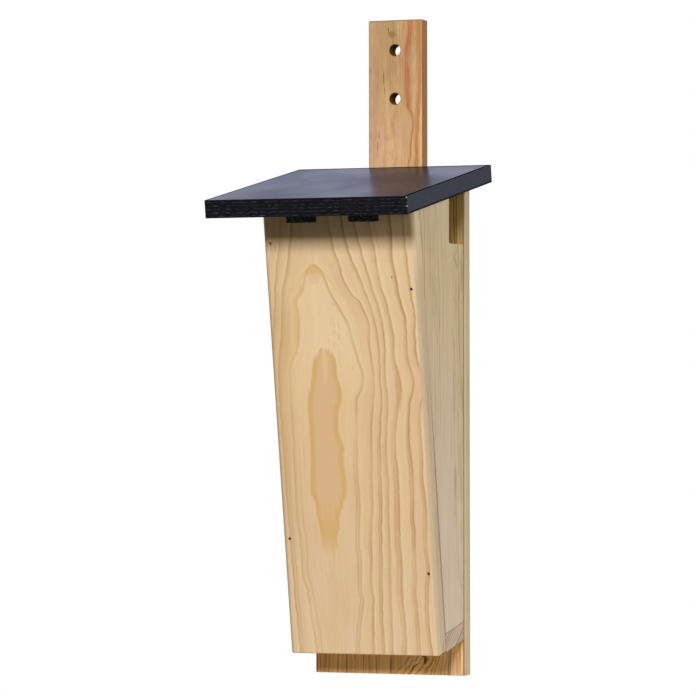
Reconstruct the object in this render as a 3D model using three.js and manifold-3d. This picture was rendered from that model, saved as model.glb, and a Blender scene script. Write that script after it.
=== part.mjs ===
// Wall-hung bat box: a tapered softwood box whose front leans outwards, closed by a plywood
// roof on two butt hinges and carried by a batten with two hanging holes.
// Millimetres, +Z up. The front faces -Y and +X is on the right seen from the front.
// The origin is on the batten's rear face, midway between the two hanging holes.
import * as THREE from "three";
import { mergeVertices } from "three/addons/utils/BufferGeometryUtils.js";
import Module from "manifold-3d";

const wasm = await Module();
wasm.setup();

// Box
const boardThickness = 18;
const boxWidth = 160;
const frontLength = 454;
const footDepth = 90;
const leanDegrees = 10;

// Back panel, which runs on below the box and stands a little proud of each of its sides
const backProud = 1.5;
const backDrop = 24;

// Roof
const roofThickness = 18;
const roofSideOverhang = 25;
const roofFrontOverhang = 84.5;

// Hanging batten
const battenWidth = 59;
const battenRise = 151;
const hangingHoleDiameter = 12;
const hangingHoleSpacing = 50;
const hangingHoleFromTop = 31;

// Entrance, cut into the right side's top rear corner
const entranceWidth = 44;
const entranceHeight = 61;
const entranceCornerRadius = 3;

// Rounded edges: the radius of long ones and of corners, and how far cut ends are eased
const frontEdgeRadius = 4.5;
const frontCornerRadius = 3;
const backEdgeRadius = 3;
const battenEdgeRadius = 2.5;
const arrisRadius = 0.8;
const endEase = 1.2;
const sawnEase = 0.4;

// Hinges: two small butt hinges in the corner between the front and the roof's underside
const hingeCentres = [-38, 28];
const hingeLength = 31.5;
const leafWidth = 13.4;
const leafThickness = 1.2;
const leafCornerRadius = 1.5;
const knuckleRadius = 2.6;
const knuckleCount = 3;
const pinRadius = 1;
const pinHeadRadius = 1.7;
const pinHeadThickness = 0.7;
const runningGap = 0.3;

// Hinge screws
const hingeScrewInset = 6.25;
const hingeScrewReach = 9;
const hingeScrewLength = 14;
const hingeScrewRadius = 1.4;
const hingeScrewHeadRadius = 2.7;
const hingeScrewHeadDepth = 1.5;
const recessLength = 3;
const recessWidth = 0.6;
const recessDepth = 0.9;

// Batten screws, from the batten's rear into the back panel
const battenScrewSpread = 30;
const battenScrewShares = [0.15, 0.85];
const battenScrewLength = 30;
const battenScrewRadius = 2;
const battenScrewHeadRadius = 4;
const battenScrewHeadDepth = 2.4;

// Nails: round wire with a small sunk head
const nailLength = 40;
const nailRadius = 1;
const nailHeadRadius = 1.25;
const nailHeadThickness = 1;
const nailSink = 1.2;
const frontNailInset = 7;
const frontNailShares = { left: [0.26, 0.92], right: [0.185, 0.815] };
const hiddenNailInset = 9;
const rearNailShares = { left: [0.2, 0.8], right: [0.2, 0.8] };
const floorNailShares = { left: [0.3, 0.75], right: [0.3, 0.75] };

// Clearances
const jointGap = 0.3;
const overrun = 6;

// Counts of facets
const edgeSteps = 3;
const boreSteps = 32;
const knuckleSteps = 24;
const fastenerSteps = 16;

// The upright frame stands on the foot of the back panel: y is 0 on the batten's rear face
const lean = THREE.MathUtils.degToRad(leanDegrees);
const backRearY = -(boardThickness + jointGap);
const backFrontY = backRearY - boardThickness;
const footY = backRearY - footDepth;

// The leaning frame stands on the front's lower outer edge: y runs into the box, z up its front
const roofUnderside = frontLength + jointGap;
const roofReach = (footDepth + roofUnderside * Math.sin(lean)) / Math.cos(lean);
const roofLength = roofReach + roofFrontOverhang;
const roofWidth = boxWidth + roofSideOverhang * 2;
const backPanelWidth = boxWidth + backProud * 2;
const innerSeat = boardThickness + jointGap;

// Heights in the upright frame
const roofBackUnderside = backDrop + roofUnderside * Math.cos(lean) + roofReach * Math.sin(lean);
const backPanelHeight = roofBackUnderside - jointGap / Math.cos(lean);
const battenLength = roofBackUnderside + roofThickness / Math.cos(lean) + battenRise;
const upperHoleZ = battenLength - hangingHoleFromTop;
const originHeight = upperHoleZ - hangingHoleSpacing / 2;

const upright = new THREE.Group();
upright.position.z = -originHeight;
const leaning = new THREE.Group();
leaning.position.set(0, footY, backDrop);
leaning.rotation.x = lean;
upright.add(leaning);

// Surface finishes
const finish = (color, roughness, metalness) => () =>
  new THREE.MeshStandardMaterial({ color, roughness, metalness });
const frontPine = finish(0xddb985, 0.65, 0);
const sidePine = finish(0xc6ae88, 0.7, 0);
const battenPine = finish(0xc99a68, 0.65, 0);
const filmedPlywood = finish(0x1c1e26, 0.35, 0);
const blackSteel = finish(0x111112, 0.4, 0.8);
const zincSteel = finish(0x9a9a98, 0.4, 1);

// Solids

function solidFrom(geometry) {
  const bare = geometry.clone();
  bare.deleteAttribute("normal");
  bare.deleteAttribute("uv");
  const merged = mergeVertices(bare);
  const vertProperties = merged.attributes.position.array;
  const triVerts = new Uint32Array(merged.index.array);
  return new wasm.Manifold(new wasm.Mesh({ numProp: 3, vertProperties, triVerts }));
}

function geometryFrom(solid) {
  const { vertProperties, triVerts } = solid.getMesh();
  const geometry = new THREE.BufferGeometry();
  geometry.setAttribute("position", new THREE.BufferAttribute(vertProperties, 3));
  geometry.setIndex(new THREE.BufferAttribute(triVerts, 1));
  geometry.computeVertexNormals();
  return geometry;
}

function joined(geometries) {
  const solids = geometries.map(solidFrom);
  return geometryFrom(solids.reduce((whole, solid) => whole.add(solid)));
}

function common(a, b) {
  return geometryFrom(solidFrom(a).intersect(solidFrom(b)));
}

// Takes cutters out of a mesh. Each cutter is a geometry with the object whose frame it is in.
function cut(mesh, cutters) {
  mesh.updateWorldMatrix(true, false);
  const toMesh = mesh.matrixWorld.clone().invert();
  let solid = solidFrom(mesh.geometry);
  for (const { geometry, frame } of cutters) {
    frame.updateWorldMatrix(true, false);
    const relative = toMesh.clone().multiply(frame.matrixWorld);
    solid = solid.subtract(solidFrom(geometry.clone().applyMatrix4(relative)));
  }
  mesh.geometry = geometryFrom(solid);
}

function place(parent, name, geometry, material) {
  const mesh = new THREE.Mesh(geometry, material);
  mesh.name = name;
  parent.add(mesh);
  return mesh;
}

// A board's section: its width along X and centred, its thickness along +Y from 0
function boardSection(width, thickness, frontRadius, rearRadius) {
  const half = width / 2;
  const quarter = Math.PI / 2;
  const section = new THREE.Shape();
  section.moveTo(-half + frontRadius, 0);
  section.absarc(half - frontRadius, frontRadius, frontRadius, -quarter, 0);
  section.absarc(half - rearRadius, thickness - rearRadius, rearRadius, 0, quarter);
  section.absarc(-half + rearRadius, thickness - rearRadius, rearRadius, quarter, Math.PI);
  section.absarc(-half + frontRadius, frontRadius, frontRadius, Math.PI, Math.PI + quarter);
  return section;
}

// An outline extruded to a length along +Z from 0, with its two end faces' edges eased
function easedExtrusion(shape, length, ease, steps) {
  const geometry = new THREE.ExtrudeGeometry(shape, {
    depth: length - ease * 2,
    bevelEnabled: true,
    bevelThickness: ease,
    bevelSize: ease,
    bevelOffset: -ease,
    bevelSegments: steps,
    curveSegments: edgeSteps,
  });
  return geometry.translate(0, 0, ease);
}

// Turns an extrusion so that its outline lies in YZ and its length runs along X, centred
function acrossX(geometry, length) {
  const y = new THREE.Vector3(0, 1, 0);
  const z = new THREE.Vector3(0, 0, 1);
  const x = new THREE.Vector3(1, 0, 0);
  return geometry.translate(0, 0, -length / 2).applyMatrix4(new THREE.Matrix4().makeBasis(y, z, x));
}

// A board given by its corners in YZ, of the given width along X
function profileBoard(corners, width, ease) {
  const shape = new THREE.Shape(corners.map(([y, z]) => new THREE.Vector2(y, z)));
  return acrossX(easedExtrusion(shape, width, ease, 1), width);
}

// A plain cylinder along X, centred
function rodAlongX(radius, length, steps) {
  return new THREE.CylinderGeometry(radius, radius, length, steps).rotateZ(Math.PI / 2);
}

// Everything above a plane parallel to the roof, in the leaning frame
function spaceAbove(rise) {
  const side = (roofLength + backPanelWidth) * 2;
  return new THREE.BoxGeometry(side, side, side).translate(0, 0, rise + side / 2);
}

// Fasteners are turned about Y: the head's top is at y = 0 and the point lies towards -Y

function turned(outline) {
  return new THREE.LatheGeometry(outline.map(([r, y]) => new THREE.Vector2(r, y)), fastenerSteps);
}

// A countersunk screw's outline, or with a clearance the outline of the pocket that it sits in
function screwOutline(radius, length, headRadius, headDepth, clearance) {
  const mouth = clearance > 0 ? overrun : 0;
  const point = radius * 3;
  return [
    [0, -length - clearance],
    [radius / 4 + clearance, -length - clearance],
    [radius + clearance, -length + point],
    [radius + clearance, -headDepth],
    [headRadius + clearance, -headDepth / 8],
    [headRadius + clearance, mouth],
    [0, mouth],
  ];
}

function nailOutline(clearance) {
  const mouth = clearance > 0 ? overrun : 0;
  const point = nailRadius * 3;
  return [
    [0, -nailLength - clearance],
    [nailRadius / 4 + clearance, -nailLength - clearance],
    [nailRadius + clearance, -nailLength + point],
    [nailRadius + clearance, -nailHeadThickness - clearance],
    [nailHeadRadius + clearance, -nailHeadThickness - clearance],
    [nailHeadRadius + clearance, mouth],
    [0, mouth],
  ];
}

// A crossed recess in a screw's head
function recessed(geometry) {
  const height = recessDepth * 2;
  const slots = [
    new THREE.BoxGeometry(recessLength, height, recessWidth),
    new THREE.BoxGeometry(recessWidth, height, recessLength),
  ];
  const cross = solidFrom(slots[0]).add(solidFrom(slots[1]));
  return geometryFrom(solidFrom(geometry).subtract(cross));
}

// Which way each side lies along X
const directions = { left: -1, right: 1 };

// Turns that point a fastener from its frame's -Y towards the way it is driven
const driven = {
  rearwards: new THREE.Euler(Math.PI, 0, 0),
  forwards: new THREE.Euler(0, 0, 0),
  upwards: new THREE.Euler(-Math.PI / 2, 0, 0),
};

function fastener(parent, name, geometry, pocket, material, position, turn) {
  const mesh = place(parent, name, geometry, material);
  mesh.position.set(...position);
  mesh.rotation.copy(turn);
  return { mesh, pocket: { geometry: pocket, frame: mesh } };
}

function nail(parent, name, position, turn) {
  return fastener(
    parent,
    name,
    turned(nailOutline(0)),
    turned(nailOutline(jointGap)),
    zincSteel(),
    position,
    turn,
  );
}

function screw(parent, name, size, material, position, turn) {
  const body = recessed(turned(screwOutline(...size, 0)));
  return fastener(parent, name, body, turned(screwOutline(...size, jointGap)), material, position, turn);
}

const pockets = (fasteners) => fasteners.map((one) => one.pocket);

// Boards

// The front panel's face: square at the top, with both lower corners rounded
function frontFace() {
  const half = boxWidth / 2;
  const corner = half - frontCornerRadius;
  const face = new THREE.Shape();
  face.moveTo(half, frontLength);
  face.lineTo(-half, frontLength);
  face.absarc(-corner, frontCornerRadius, frontCornerRadius, Math.PI, Math.PI * 1.5);
  face.absarc(corner, frontCornerRadius, frontCornerRadius, Math.PI * 1.5, Math.PI * 2);
  const depth = boardThickness + overrun;
  return easedExtrusion(face, depth, endEase, edgeSteps).rotateX(Math.PI / 2).translate(0, depth, 0);
}

const frontSection = boardSection(boxWidth, boardThickness, frontEdgeRadius, arrisRadius);
const frontBoard = easedExtrusion(frontSection, frontLength, sawnEase, 1);
const front = place(leaning, "front_panel", common(frontBoard, frontFace()), frontPine());

// Depth in the leaning frame at which a board's square-cut or tapered end meets the back panel
const reachAt = (rise) => (footDepth - innerSeat + rise * Math.sin(lean)) / Math.cos(lean);

const floor = place(
  leaning,
  "floor",
  profileBoard(
    [
      [innerSeat, 0],
      [reachAt(0), 0],
      [reachAt(boardThickness), boardThickness],
      [innerSeat, boardThickness],
    ],
    boxWidth,
    sawnEase,
  ),
  sidePine(),
);

const sideOutline = [
  [innerSeat, innerSeat],
  [reachAt(innerSeat), innerSeat],
  [reachAt(frontLength), frontLength],
  [innerSeat, frontLength],
];
const sideX = (boxWidth - boardThickness) / 2;
const sides = {};
for (const [side, direction] of Object.entries(directions)) {
  const board = profileBoard(sideOutline, boardThickness, sawnEase);
  sides[side] = place(leaning, `${side}_side`, board, sidePine());
  sides[side].position.x = sideX * direction;
}

const back = place(
  upright,
  "back_panel",
  easedExtrusion(
    boardSection(backPanelWidth, boardThickness, backEdgeRadius, backEdgeRadius),
    backPanelHeight + overrun,
    endEase,
    edgeSteps,
  ),
  battenPine(),
);
back.position.y = backFrontY;

const batten = place(
  upright,
  "hanging_batten",
  easedExtrusion(
    boardSection(battenWidth, boardThickness, battenEdgeRadius, battenEdgeRadius),
    battenLength,
    endEase,
    edgeSteps,
  ),
  battenPine(),
);
batten.position.y = -boardThickness;

// The roof's length runs along Y once its section, drawn upright, is laid back
const roofSection = boardSection(roofWidth, roofThickness, arrisRadius, arrisRadius);
const roofBoard = easedExtrusion(roofSection, roofLength, sawnEase, 1).rotateX(-Math.PI / 2);
const roof = place(leaning, "roof", roofBoard, filmedPlywood());
roof.position.set(0, -roofFrontOverhang, roofUnderside + roofThickness);

// The back panel's top end is bevelled to the roof's underside
cut(back, [{ geometry: spaceAbove(roofUnderside - jointGap), frame: leaning }]);

// The entrance is open at the top and at the rear, with one rounded inner corner
function entranceCutter() {
  const top = entranceHeight + overrun;
  const opening = new THREE.Shape();
  opening.moveTo(overrun, 0);
  opening.lineTo(overrun, top);
  opening.lineTo(-entranceWidth, top);
  opening.absarc(
    entranceCornerRadius - entranceWidth,
    entranceCornerRadius,
    entranceCornerRadius,
    Math.PI,
    Math.PI * 1.5,
  );
  const depth = boardThickness + overrun * 2;
  const geometry = new THREE.ExtrudeGeometry(opening, {
    depth,
    bevelEnabled: false,
    curveSegments: edgeSteps,
  });
  return acrossX(geometry, depth);
}

const backFrontUnderside = roofBackUnderside - boardThickness * Math.tan(lean);
const entrance = new THREE.Group();
entrance.position.set(sideX, backFrontY, backFrontUnderside - entranceHeight);
upright.add(entrance);
cut(sides.right, [{ geometry: entranceCutter(), frame: entrance }]);

// Hanging holes, bored through the batten from front to rear
function hangingHole(z) {
  const bore = new THREE.CylinderGeometry(
    hangingHoleDiameter / 2,
    hangingHoleDiameter / 2,
    (boardThickness + overrun) * 2,
    boreSteps,
  );
  return { geometry: bore.translate(0, 0, z), frame: upright };
}

cut(batten, [hangingHole(upperHoleZ), hangingHole(upperHoleZ - hangingHoleSpacing)]);

// Nails through one board into both side panels, at each side's own shares of a length
function nailSides(name, board, frame, shares, placeOf, turn) {
  for (const [side, direction] of Object.entries(directions)) {
    const nails = shares[side].map((share, i) =>
      nail(frame, `${name}_nail_${side}_${i + 1}`, placeOf(direction, share), turn),
    );
    cut(board, pockets(nails));
    cut(sides[side], pockets(nails));
  }
}

const frontNailX = boxWidth / 2 - frontNailInset;
const hiddenNailX = boxWidth / 2 - hiddenNailInset;
const floorSpan = reachAt(0) - innerSeat;

nailSides(
  "front",
  front,
  leaning,
  frontNailShares,
  (direction, share) => [frontNailX * direction, nailSink, frontLength * share],
  driven.rearwards,
);
nailSides(
  "rear",
  back,
  upright,
  rearNailShares,
  (direction, share) => [hiddenNailX * direction, backRearY - nailSink, backPanelHeight * share],
  driven.forwards,
);
nailSides(
  "floor",
  floor,
  leaning,
  floorNailShares,
  (direction, share) => [hiddenNailX * direction, innerSeat + floorSpan * share, nailSink],
  driven.upwards,
);

// Screws through the batten into the back panel
const battenScrewSize = [battenScrewRadius, battenScrewLength, battenScrewHeadRadius, battenScrewHeadDepth];
const battenScrews = battenScrewShares.flatMap((share, row) =>
  [-1, 1].map((direction, column) =>
    screw(
      upright,
      `batten_screw_${row * 2 + column + 1}`,
      battenScrewSize,
      zincSteel(),
      [battenScrewSpread / 2 * direction, 0, backPanelHeight * share],
      driven.forwards,
    ),
  ),
);
cut(batten, pockets(battenScrews));
cut(back, pockets(battenScrews));

// Hinges. A leaf is drawn round its pin: its plate hangs down from the knuckles, with the wood
// at the +Y side. The roof's leaf is the same leaf, swung over to lie against the roof.

const knucklePitch = hingeLength / knuckleCount;
const knuckleLength = knucklePitch - runningGap;
const plateTop = -(knuckleRadius + runningGap);
const plateMiddle = knuckleRadius - leafThickness / 2;

function leafPlate() {
  const half = hingeLength / 2;
  const cornerX = half - leafCornerRadius;
  const cornerZ = leafCornerRadius - leafWidth;
  const outline = new THREE.Shape();
  outline.moveTo(half, plateTop);
  outline.lineTo(-half, plateTop);
  outline.absarc(-cornerX, cornerZ, leafCornerRadius, Math.PI, Math.PI * 1.5);
  outline.absarc(cornerX, cornerZ, leafCornerRadius, Math.PI * 1.5, Math.PI * 2);
  const plate = new THREE.ExtrudeGeometry(outline, {
    depth: leafThickness,
    bevelEnabled: false,
    curveSegments: edgeSteps,
  });
  return plate.rotateX(Math.PI / 2).translate(0, knuckleRadius, 0);
}

// A knuckle and the strip that runs from it into the plate
function knuckleAt(x) {
  const height = leafThickness - plateTop;
  const strip = new THREE.BoxGeometry(knuckleLength, leafThickness, height);
  return [
    rodAlongX(knuckleRadius, knuckleLength, knuckleSteps).translate(x, 0, 0),
    strip.translate(x, plateMiddle, -height / 2),
  ];
}

function leafGeometry(knuckles) {
  const places = knuckles.map((index) => (index - (knuckleCount - 1) / 2) * knucklePitch);
  const leaf = joined([leafPlate(), ...places.flatMap(knuckleAt)]);
  const bore = rodAlongX(pinRadius + runningGap, hingeLength + overrun, knuckleSteps);
  return geometryFrom(solidFrom(leaf).subtract(solidFrom(bore)));
}

function pinGeometry() {
  const end = hingeLength / 2 + runningGap;
  const half = [
    [pinRadius, end],
    [pinHeadRadius, end],
    [pinHeadRadius, end + pinHeadThickness / 2],
    [pinRadius, end + pinHeadThickness],
    [0, end + pinHeadThickness],
  ];
  const mirrored = half.map(([r, y]) => [r, -y]).reverse();
  return turned([...mirrored, ...half]).rotateZ(Math.PI / 2);
}

const hingeScrewSize = [hingeScrewRadius, hingeScrewLength, hingeScrewHeadRadius, hingeScrewHeadDepth];
const hingeScrewX = hingeLength / 2 - hingeScrewInset;

// A leaf with its two screws, in a frame that has the pin on its X axis
function hingeLeaf(frame, name, knuckles, board) {
  const leaf = place(frame, `${name}_leaf`, leafGeometry(knuckles), blackSteel());
  const screws = [-1, 1].map((direction, i) =>
    screw(
      frame,
      `${name}_screw_${i + 1}`,
      hingeScrewSize,
      blackSteel(),
      [hingeScrewX * direction, knuckleRadius - leafThickness, -hingeScrewReach],
      driven.rearwards,
    ),
  );
  cut(leaf, pockets(screws));
  cut(board, pockets(screws));
}

const frontKnuckles = [1];
const roofKnuckles = [0, 2];

["left", "right"].forEach((side, i) => {
  const hinge = new THREE.Group();
  hinge.position.set(hingeCentres[i], -(jointGap + knuckleRadius), frontLength - knuckleRadius);
  leaning.add(hinge);
  const swung = new THREE.Group();
  swung.quaternion.setFromAxisAngle(new THREE.Vector3(0, 1, 1).normalize(), Math.PI);
  hinge.add(swung);
  hingeLeaf(hinge, `hinge_${side}_front`, frontKnuckles, front);
  hingeLeaf(swung, `hinge_${side}_roof`, roofKnuckles, roof);
  place(hinge, `hinge_${side}_pin`, pinGeometry(), blackSteel());
});

const part = new THREE.Group();
part.add(upright);

export default part;
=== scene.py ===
import math

import bpy
from mathutils import Euler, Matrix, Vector


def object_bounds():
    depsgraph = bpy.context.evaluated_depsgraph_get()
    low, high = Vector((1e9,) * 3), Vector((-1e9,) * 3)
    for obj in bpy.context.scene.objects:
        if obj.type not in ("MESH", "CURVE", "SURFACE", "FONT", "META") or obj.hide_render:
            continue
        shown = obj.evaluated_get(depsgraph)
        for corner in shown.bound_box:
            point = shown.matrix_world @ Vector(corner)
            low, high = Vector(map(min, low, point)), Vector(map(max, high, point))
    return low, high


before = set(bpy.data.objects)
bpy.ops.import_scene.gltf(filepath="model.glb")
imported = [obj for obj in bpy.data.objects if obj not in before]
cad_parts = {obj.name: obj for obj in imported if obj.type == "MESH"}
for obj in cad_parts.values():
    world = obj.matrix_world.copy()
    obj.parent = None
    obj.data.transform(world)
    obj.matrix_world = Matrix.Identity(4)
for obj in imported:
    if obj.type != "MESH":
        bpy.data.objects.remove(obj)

cad_low, cad_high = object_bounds()

MM = 0.001
LEAN = math.radians(10)
HANGING_HOLE_RADIUS = 6
HANGING_HOLE_SPACING = 50


def extent(name, tilt=0.0):
    """The lowest and highest corner of a solid, in millimetres in axes tilted about X."""
    turn = Euler((-tilt, 0, 0)).to_matrix()
    corners = [turn @ vertex.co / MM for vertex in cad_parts[name].data.vertices]
    low = Vector([min(corner[axis] for corner in corners) for axis in range(3)])
    high = Vector([max(corner[axis] for corner in corners) for axis in range(3)])
    return low, high


def leaning(y, z):
    """A point in metres, given in millimetres in axes that lean as the front panel does."""
    return Euler((LEAN, 0, 0)).to_matrix() @ Vector((0, y, z)) * MM


front_low, front_high = extent("front_panel", LEAN)
roof_low, roof_high = extent("roof", LEAN)
_, back_high = extent("back_panel")
batten_low, batten_high = extent("hanging_batten")
thickness = front_high.y - front_low.y
half_box = front_high.x

# The patterns of the boards are measured from three feet: of the front panel's front face, of the
# batten's rear face, and of the roof, on its underside in line with the front panel's face
front_foot = leaning(front_low.y, front_low.z)
back_foot = Vector((0, cad_high.y, cad_low.z))
roof_foot = leaning(front_low.y, roof_low.z)


# Node graphs


class Number:
    """A number that a node gives out. What is done to it adds nodes."""

    def __init__(self, graph, socket):
        self.graph = graph
        self.socket = socket

    def __add__(self, other):
        return self.graph.math("ADD", self, other)

    def __sub__(self, other):
        return self.graph.math("SUBTRACT", self, other)

    def __rsub__(self, other):
        return self.graph.math("SUBTRACT", other, self)

    def __mul__(self, other):
        return self.graph.math("MULTIPLY", self, other)

    def __truediv__(self, other):
        return self.graph.math("DIVIDE", self, other)

    def __abs__(self):
        return self.graph.math("ABSOLUTE", self)

    def clamped(self):
        return self.graph.math("ADD", self, 0.0, clamp=True)

    def power(self, exponent):
        return self.graph.math("POWER", self, exponent)

    def floor(self):
        return self.graph.math("FLOOR", self)

    def fraction(self):
        return self.graph.math("FRACT", self)

    def root(self):
        return self.graph.math("SQRT", self)

    def least(self, other):
        return self.graph.math("MINIMUM", self, other)

    def most(self, other):
        return self.graph.math("MAXIMUM", self, other)


class Triple:
    """A vector or colour that a node gives out. What is done to it adds nodes."""

    def __init__(self, graph, socket):
        self.graph = graph
        self.socket = socket

    def __add__(self, other):
        return self.graph.vector("ADD", self, other)

    def __sub__(self, other):
        return self.graph.vector("SUBTRACT", self, other)

    def __mul__(self, other):
        return self.graph.vector("MULTIPLY", self, other)

    def __truediv__(self, other):
        return self.graph.vector("DIVIDE", self, other)

    def dot(self, other):
        node = self.graph.node("VectorMath", {0: self, 1: other}, operation="DOT_PRODUCT")
        return Number(self.graph, node.outputs["Value"])

    def parts(self):
        node = self.graph.node("SeparateXYZ", {0: self})
        return [Number(self.graph, socket) for socket in node.outputs]


class Graph:
    """The nodes of one material or world. Colours are linear red, green and blue."""

    def __init__(self, owner):
        self.owner = owner
        owner.use_nodes = True
        self.tree = owner.node_tree
        self.tree.nodes.clear()

    def node(self, kind, inputs=None, **settings):
        """Adds a node. Each input is a value, or what another node gives out."""
        made = self.tree.nodes.new("ShaderNode" + kind)
        for key, value in settings.items():
            setattr(made, key, value)
        for key, value in (inputs or {}).items():
            socket = made.inputs[key]
            if isinstance(value, (Number, Triple)):
                value = value.socket
            if isinstance(value, bpy.types.NodeSocket):
                self.tree.links.new(value, socket)
            elif socket.type == "RGBA":
                socket.default_value = (*value, 1)
            else:
                socket.default_value = value
        return made

    def math(self, operation, first, second=0.0, clamp=False):
        """A sum of one or two numbers."""
        node = self.node("Math", {0: first, 1: second}, operation=operation, use_clamp=clamp)
        return Number(self, node.outputs[0])

    def vector(self, operation, first, second):
        """The same sum on each part of two vectors, or of a vector and a plain number."""
        if isinstance(second, (int, float)):
            second = (second, second, second)
        node = self.node("VectorMath", {0: first, 1: second}, operation=operation)
        return Triple(self, node.outputs["Vector"])

    def join(self, x, y, z):
        return Triple(self, self.node("CombineXYZ", {0: x, 1: y, 2: z}).outputs[0])

    def space(self, foot=(0, 0, 0), tilt=0.0):
        """Millimetres in a frame of the resting model, which stays with its body at every pose."""
        place = self.node("TexCoord")
        turned = self.node("Mapping", {
            "Vector": place.outputs["Object"],
            "Location": tuple(foot), "Rotation": (tilt, 0, 0), "Scale": (MM, MM, MM),
        }, vector_type="TEXTURE")
        return Triple(self, turned.outputs[0])

    def facing(self, tilt=0.0):
        """The outward direction of the surface in the same frame."""
        place = self.node("TexCoord")
        turned = self.node("Mapping", {
            "Vector": place.outputs["Normal"], "Rotation": (-tilt, 0, 0),
        }, vector_type="POINT")
        return Triple(self, turned.outputs[0])

    def noise(self, place, detail, roughness=0.5):
        """Noise, 0 to 1, in patches about 1 across, so that x / 60 makes them 60 mm wide."""
        node = self.node("TexNoise", {
            "Vector": place, "Scale": 1.0, "Detail": detail, "Roughness": roughness,
        }, noise_dimensions="3D")
        return Number(self, node.outputs[0])

    def chance(self, number):
        """A random number, 0 to 1, that belongs to a number."""
        node = self.node("TexWhiteNoise", {"W": number}, noise_dimensions="1D")
        return Number(self, node.outputs["Value"])

    def rescale(self, value, low, high, to_low=0.0, to_high=1.0, smooth=False):
        """Goes from one number at the low end to another at the high end, and stays there."""
        node = self.node("MapRange", {0: value, 1: low, 2: high, 3: to_low, 4: to_high},
                         interpolation_type="SMOOTHSTEP" if smooth else "LINEAR", clamp=True)
        return Number(self, node.outputs[0])

    def rescale3(self, value, low, high):
        """Each part of a vector, from 0 at its low end to 1 at its high end."""
        node = self.node("MapRange", {6: value, 7: low, 8: high, 9: (0, 0, 0), 10: (1, 1, 1)},
                         data_type="FLOAT_VECTOR", clamp=True)
        return Triple(self, node.outputs[1])

    def near(self, distance, core, reach, smooth=False):
        """1 within the core on both sides of a line, falling to 0 at its reach."""
        return self.rescale(abs(distance), core, reach, 1.0, 0.0, smooth)

    def mix(self, share, first, second):
        """The first colour where the share is 0, and the second where it is 1."""
        node = self.node("Mix", {0: share, 6: first, 7: second},
                         data_type="RGBA", clamp_factor=True)
        return Triple(self, node.outputs[2])

    def tint(self, colour, share, tint, elsewhere=(1, 1, 1)):
        """Multiplies a colour by one tint where the share is 1, and by another where it is 0."""
        return colour * self.mix(share, elsewhere, tint)

    def coats(self, colour, layers):
        """Lays coats over a colour, each given by where it lies, its strength and its colour."""
        for share, strength, coat in layers:
            colour = self.mix(share * strength, colour, coat)
        return colour

    def courses(self, height, routes, start=0.0, span=460.0, reach=90.0):
        """Where up to three lines cross a board at a height. Each is given as (height, x) points,
        with heights from the start over the span, and x within the reach."""
        share = ((height - start) / span).clamped()
        node = self.node("RGBCurve", {"Color": self.join(share, share, share)})
        for curve, route in zip(node.mapping.curves, routes):
            marks = [((up - start) / span, x / (2 * reach) + 0.5) for up, x in route]
            for point, mark in zip(curve.points, (marks[0], marks[-1])):
                point.location = mark
            for mark in marks[1:-1]:
                curve.points.new(*mark)
        node.mapping.update()
        return (Triple(self, node.outputs[0]) - 0.5) * (2 * reach)

    def shade(self, colour, roughness, relief, depth, **looks):
        """Ends a material with a shader, whose relief is as deep as the depth in millimetres."""
        bump = self.node("Bump", {"Strength": 1.0, "Distance": depth * MM, "Height": relief})
        inputs = {"Base Color": colour, "Roughness": roughness, "Normal": bump.outputs[0]}
        for name, value in looks.items():
            inputs[name.replace("_", " ")] = value
        shader = self.node("BsdfPrincipled", inputs)
        self.node("OutputMaterial", {0: shader.outputs[0]})
        return self.owner


def new_material(name):
    return Graph(bpy.data.materials.new(name))


# Pine


def growth_rings(graph, place, pith, lean, spacing, seed, waver=1.0, contrast=3.0):
    """Rings round a pith that lies along a board: their darkness, 0 to 1, and their count."""
    x, y, z = place.parts()
    slow = graph.noise(graph.join(x / 60 + seed, y / 60, z / 110), 2, 0.5) - 0.5
    quick = graph.noise(graph.join(x / 14 + seed, y / 14, z / 34), 2, 0.55) - 0.5
    across = x - pith[0] - z * lean[0] + slow * (9 * waver) + quick * (2.2 * waver)
    into = y - pith[1] - z * lean[1] + slow * (6 * waver)
    radius = (across * across + into * into).root() / spacing
    uneven = graph.noise(graph.join(radius / 2.6 + seed, 0.5, 0.5), 1, 0.5) - 0.5
    count = radius + uneven * 1.9
    share = count.fraction()
    ring_end = 0.9
    rise = graph.rescale(share, 0.0, ring_end).power(contrast)
    fall = graph.rescale(share, ring_end, 1.0, 1.0, 0.0)
    strength = graph.rescale(graph.chance(count.floor() + seed), 0, 1, 0.25, 1.0)
    return rise * fall * strength, count


def hairlines(graph, across, along, spacing, seed):
    """Thin, uneven dark lines that run along a board, 0 to 1."""
    drift = graph.noise(graph.join(across / 12 + seed, along / 70, 0.5), 2, 0.6) - 0.5
    count = across / spacing + drift * 2.4
    line = graph.near(count.fraction() - 0.5, 0.05, 0.3, smooth=True)
    fade = graph.noise(graph.join(count.floor() * 3.1 + seed, along / 60, 0.5), 1, 0.5)
    return line * graph.rescale(fade, 0.42, 0.68)


def spot(graph, x, z, at, size):
    """1 inside a small soft ellipse on a face, and 0 outside."""
    aside, up = (x - at[0]) / size[0], (z - at[1]) / size[1]
    return graph.rescale(aside * aside + up * up, 0.35, 1.0, 1.0, 0.0, smooth=True)


def spots(graph, x, z, marks):
    """Several spots, each given by its place, its size and its strength."""
    found = 0.0
    for at, size, strength in marks:
        found = (spot(graph, x, z, at, size) * strength).most(found)
    return found


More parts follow.
